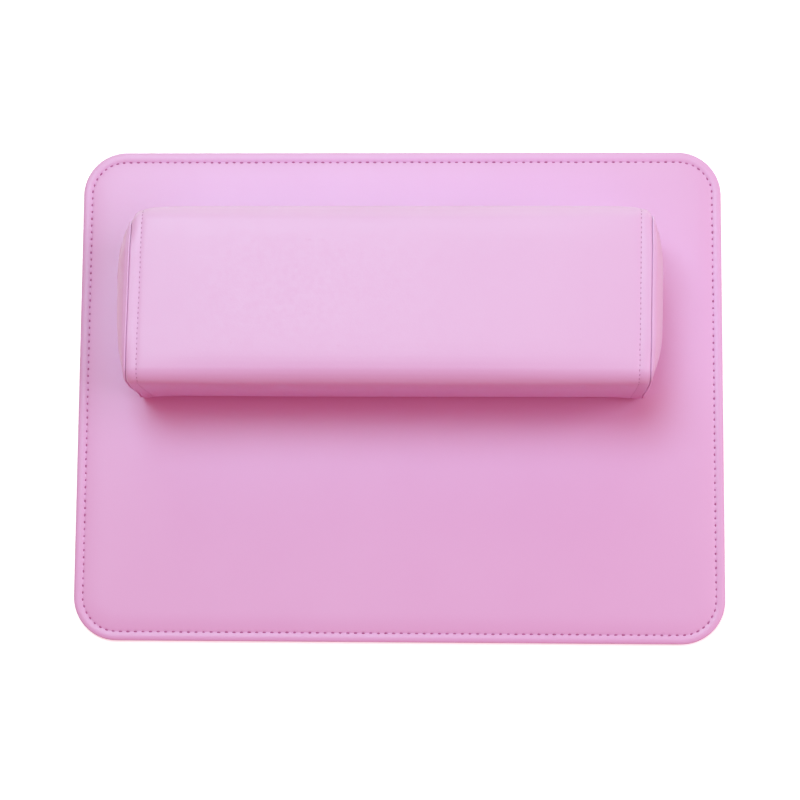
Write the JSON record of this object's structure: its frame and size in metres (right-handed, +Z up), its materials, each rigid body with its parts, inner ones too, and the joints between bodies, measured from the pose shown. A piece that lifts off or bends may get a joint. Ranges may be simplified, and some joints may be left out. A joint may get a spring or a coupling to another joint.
{
  "type": "manicure hand rest",
  "caption": "Padded leather mat with a box-shaped foam pillow lying across its back half, to support the hand and wrist at a nail table.",
  "frame": {"origin": "middle of the mat's underside, on the surface it lies on", "axes": "+X along the mat's long side and the pillow's length, +Y to the back edge where the pillow lies, +Z up"},
  "size_m": [0.4, 0.306, 0.0794],
  "materials": {
    "mat_leather": "smooth imitation leather, satin, lilac pink",
    "pillow_leather": "smooth imitation leather, satin, lilac pink",
    "foam": "open-cell polyurethane foam, matt, cream",
    "thread": "bonded sewing thread, pink"
  },
  "bodies": {
    "root": {"mat_top_sheet": "mat_leather", "mat_bottom_sheet": "mat_leather", "mat_foam_sheet": "foam", "mat_needle_thread": "thread", "mat_bobbin_thread": "thread", "pillow_foam_block": "foam", "pillow_wrap": "pillow_leather", "pillow_end_left": "pillow_leather", "pillow_end_right": "pillow_leather", "pillow_seam_thread_left": "thread", "pillow_seam_thread_right": "thread", "pillow_stitch_left": "thread", "pillow_stitch_right": "thread", "pillow_bobbin_left": "thread", "pillow_bobbin_right": "thread"}
  },
  "joints": []
}
